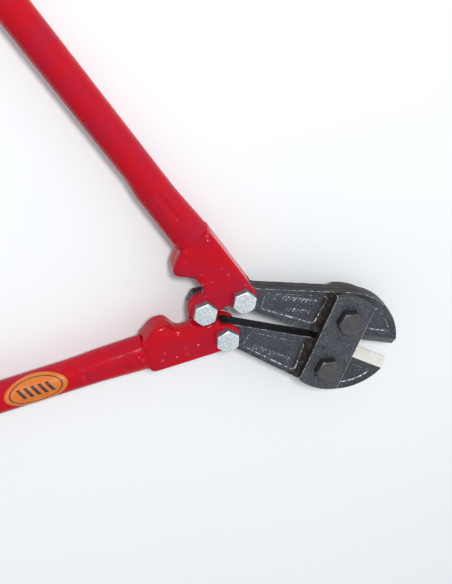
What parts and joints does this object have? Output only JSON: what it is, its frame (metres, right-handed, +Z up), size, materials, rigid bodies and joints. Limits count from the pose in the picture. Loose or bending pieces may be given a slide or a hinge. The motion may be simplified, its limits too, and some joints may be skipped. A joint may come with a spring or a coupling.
{
  "type": "bolt cutters",
  "caption": "Long-handled compound-lever bolt cutters: two blades held by straps, driven by forked tube handles that hinge on the jaw tails and on each other.",
  "frame": {"origin": "on the surface that the tool lies on, under the middle of its length, on its centre line", "axes": "+X along the centre line towards the blades' tips, +Y towards the upper handle, +Z up, the side of the bolt heads"},
  "size_m": [0.7724, 0.8716, 0.0615],
  "materials": {
    "forged_black": "satin black forging",
    "blackened_steel": "satin black",
    "red_enamel": "gloss enamel",
    "zinc_plate": "zinc plated",
    "rubber": "matt black rubber",
    "label": "printed sticker"
  },
  "bodies": {
    "strap": {"front_strap": "blackened_steel", "rear_strap": "blackened_steel", "strap_bolts": "blackened_steel", "strap_washers": "blackened_steel", "strap_nuts": "blackened_steel"},
    "upper_jaw": {"upper_jaw": "forged_black"},
    "lower_jaw": {"lower_jaw": "forged_black"},
    "upper_handle": {"upper_fitting": "red_enamel", "upper_tube": "red_enamel", "upper_weld": "red_enamel", "upper_grip": "rubber", "upper_jaw_bolt": "zinc_plate", "upper_jaw_washer": "zinc_plate", "upper_jaw_nut": "zinc_plate", "centre_bolt": "zinc_plate", "centre_washer": "blackened_steel", "centre_nut": "blackened_steel"},
    "lower_handle": {"lower_fitting": "red_enamel", "lower_tube": "red_enamel", "lower_weld": "red_enamel", "lower_grip": "rubber", "lower_jaw_bolt": "zinc_plate", "lower_jaw_washer": "zinc_plate", "lower_jaw_nut": "zinc_plate", "handle_label": "label"}
  },
  "joints": [
    {"name": "upper_handle_pivot", "type": "hinge", "parent": "upper_jaw", "child": "upper_handle", "pos_m": [0.19916, 0.0231, 0.0344], "axis": [0, 0, 1], "range_deg": [-10, 38]},
    {"name": "lower_handle_pivot", "type": "hinge", "parent": "lower_jaw", "child": "lower_handle", "pos_m": [0.19916, -0.0231, 0.0344], "axis": [0, 0, -1], "range_deg": [-10, 38]},
    {"name": "upper_jaw_pivot", "type": "hinge", "parent": "strap", "child": "upper_jaw", "pos_m": [0.31766, 0.0295, 0.0344], "axis": [0, 0, -1], "range_deg": [-1.86, 7.07]},
    {"name": "lower_jaw_pivot", "type": "hinge", "parent": "strap", "child": "lower_jaw", "pos_m": [0.31766, -0.0295, 0.0344], "axis": [0, 0, 1], "range_deg": [-1.86, 7.07]}
  ],
  "couplings": [
    {"joint": "lower_handle_pivot", "follows": "upper_handle_pivot", "ratio": 1},
    {"joint": "upper_jaw_pivot", "follows": "upper_handle_pivot", "ratio": 0.186},
    {"joint": "lower_jaw_pivot", "follows": "upper_handle_pivot", "ratio": 0.186}
  ]
}
